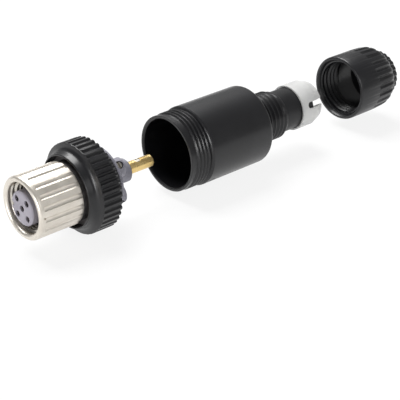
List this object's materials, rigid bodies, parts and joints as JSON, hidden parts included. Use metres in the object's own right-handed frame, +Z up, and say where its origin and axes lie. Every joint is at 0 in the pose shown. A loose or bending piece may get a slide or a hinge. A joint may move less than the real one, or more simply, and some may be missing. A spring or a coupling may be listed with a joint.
{
  "type": "m12 connector",
  "caption": "Field-wireable round female plug, drawn apart along its axis: coupling nut, contact insert with screw terminals, union ring, housing, cable seal, clamp cage and gland cap.",
  "frame": {"origin": "centre of the mouth of the coupling nut's M12 thread", "axes": "+X along the connector's axis, from the mating end to the cable end; +Z up; +Y completes the right hand, with the coding keyway at +Y"},
  "size_m": [0.1177, 0.0218, 0.0218],
  "materials": {
    "nickel": "satin nickel plate",
    "insert_plastic": "matt moulded",
    "block_plastic": "matt moulded",
    "gold": "gold plate over brass",
    "screw_metal": "plated steel",
    "black_plastic": "fine spark-eroded texture",
    "seal_rubber": "smooth moulded rubber",
    "white_plastic": "satin moulded"
  },
  "bodies": {
    "carrier": {"contact_carrier": "insert_plastic", "terminal_block": "block_plastic", "contact_1": "gold", "contact_2": "gold", "contact_3": "gold", "contact_4": "gold", "contact_centre": "gold", "mating_seal": "seal_rubber", "body_seal": "seal_rubber"},
    "nut": {"coupling_nut": "nickel"},
    "ring": {"union_ring": "black_plastic"},
    "screw_1": {"terminal_screw_1": "screw_metal"},
    "screw_2": {"terminal_screw_2": "screw_metal"},
    "screw_3": {"terminal_screw_3": "screw_metal"},
    "screw_4": {"terminal_screw_4": "screw_metal"},
    "screw_centre": {"terminal_screw_centre": "screw_metal"},
    "housing": {"housing": "black_plastic"},
    "cage": {"clamp_cage": "white_plastic", "cable_seal": "seal_rubber"},
    "cap": {"gland_cap": "black_plastic"}
  },
  "joints": [
    {"name": "coupling_nut_turn", "type": "hinge", "parent": "carrier", "child": "nut", "pos_m": [0.0101, 0, 0], "axis": [1, 0, 0], "continuous": true},
    {"name": "union_ring_turn", "type": "hinge", "parent": "carrier", "child": "ring", "pos_m": [0.013, 0, 0], "axis": [1, 0, 0], "continuous": true},
    {"name": "housing_slide", "type": "slide", "parent": "carrier", "child": "housing", "axis": [1, 0, 0], "range_m": [-0.0261, 0]},
    {"name": "cage_slide", "type": "slide", "parent": "housing", "child": "cage", "axis": [1, 0, 0], "range_m": [-0.0052, 0]},
    {"name": "gland_cap_slide", "type": "slide", "parent": "cage", "child": "cap", "axis": [1, 0, 0], "range_m": [-0.0271, 0]},
    {"name": "terminal_screw_1_travel", "type": "slide", "parent": "carrier", "child": "screw_1", "axis": [0, -0.7071, 0.7071], "range_m": [-0.0007, 0]},
    {"name": "terminal_screw_2_travel", "type": "slide", "parent": "carrier", "child": "screw_2", "axis": [0, -0.7071, -0.7071], "range_m": [-0.0007, 0]},
    {"name": "terminal_screw_3_travel", "type": "slide", "parent": "carrier", "child": "screw_3", "axis": [0, 0.7071, -0.7071], "range_m": [-0.0007, 0]},
    {"name": "terminal_screw_4_travel", "type": "slide", "parent": "carrier", "child": "screw_4", "axis": [0, 0.7071, 0.7071], "range_m": [-0.0007, 0]},
    {"name": "terminal_screw_centre_travel", "type": "slide", "parent": "carrier", "child": "screw_centre", "axis": [0, 0, 1], "range_m": [-0.0007, 0]}
  ]
}
